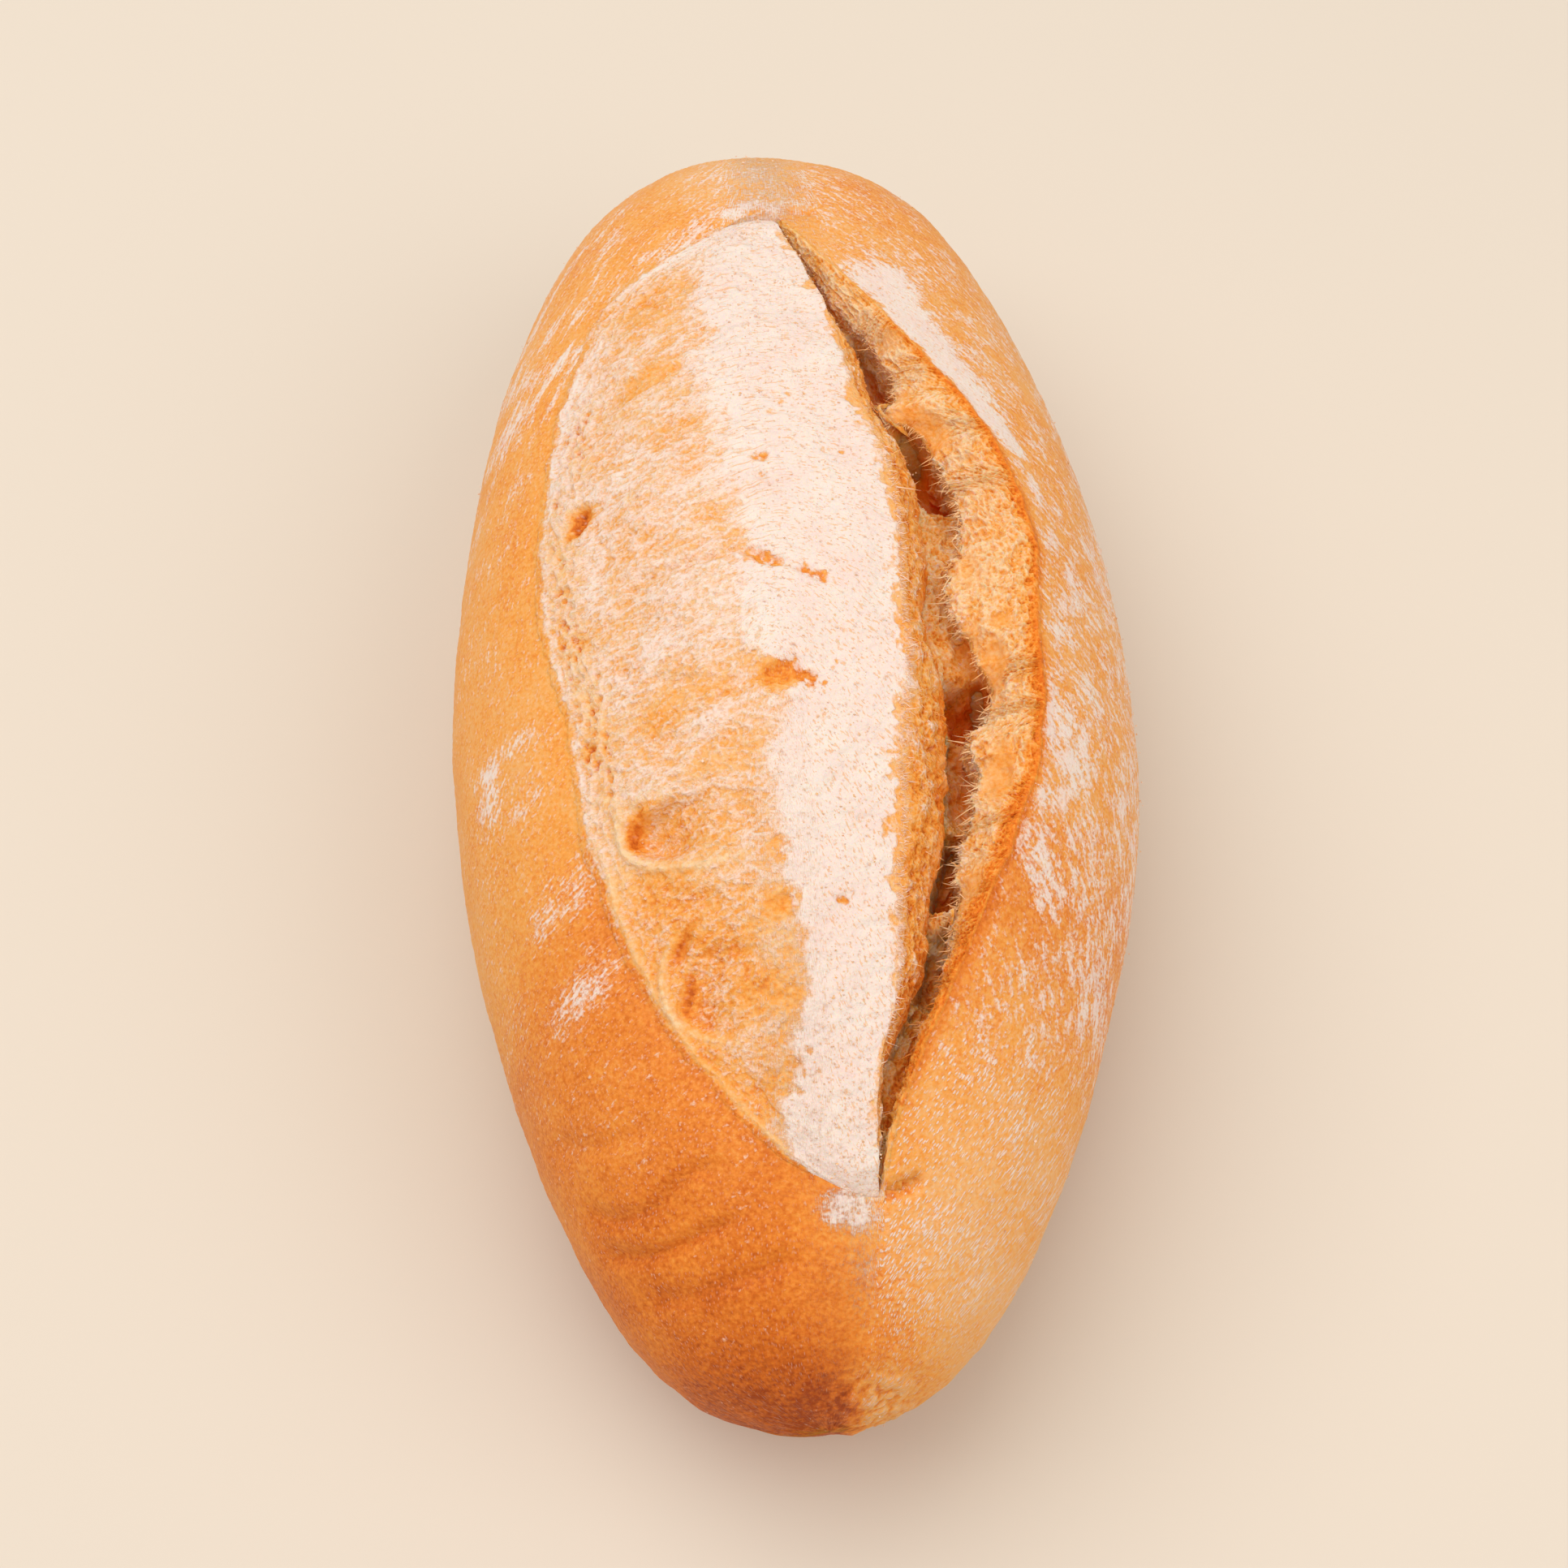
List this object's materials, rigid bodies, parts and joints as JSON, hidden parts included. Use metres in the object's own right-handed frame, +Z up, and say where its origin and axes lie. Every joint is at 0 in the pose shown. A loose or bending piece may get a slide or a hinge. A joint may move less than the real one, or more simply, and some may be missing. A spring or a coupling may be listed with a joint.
{
  "type": "bolillo roll",
  "caption": "Small oval crusty wheat bread roll with a lengthwise slash baked open into a pale leaf-shaped bloom beside a torn crack of open crumb.",
  "frame": {"origin": "middle of the flat underside's level, under the centre of the roll's box", "axes": "+Y along the roll from its near, leaner end to its far, blunter end; +Z up from the base; +X to the side of the torn crack"},
  "size_m": [0.0754, 0.1566, 0.0562],
  "materials": {
    "crust": "matt baked crust, floured, golden orange"
  },
  "bodies": {
    "root": {"bolillo_roll": "crust"}
  },
  "joints": []
}
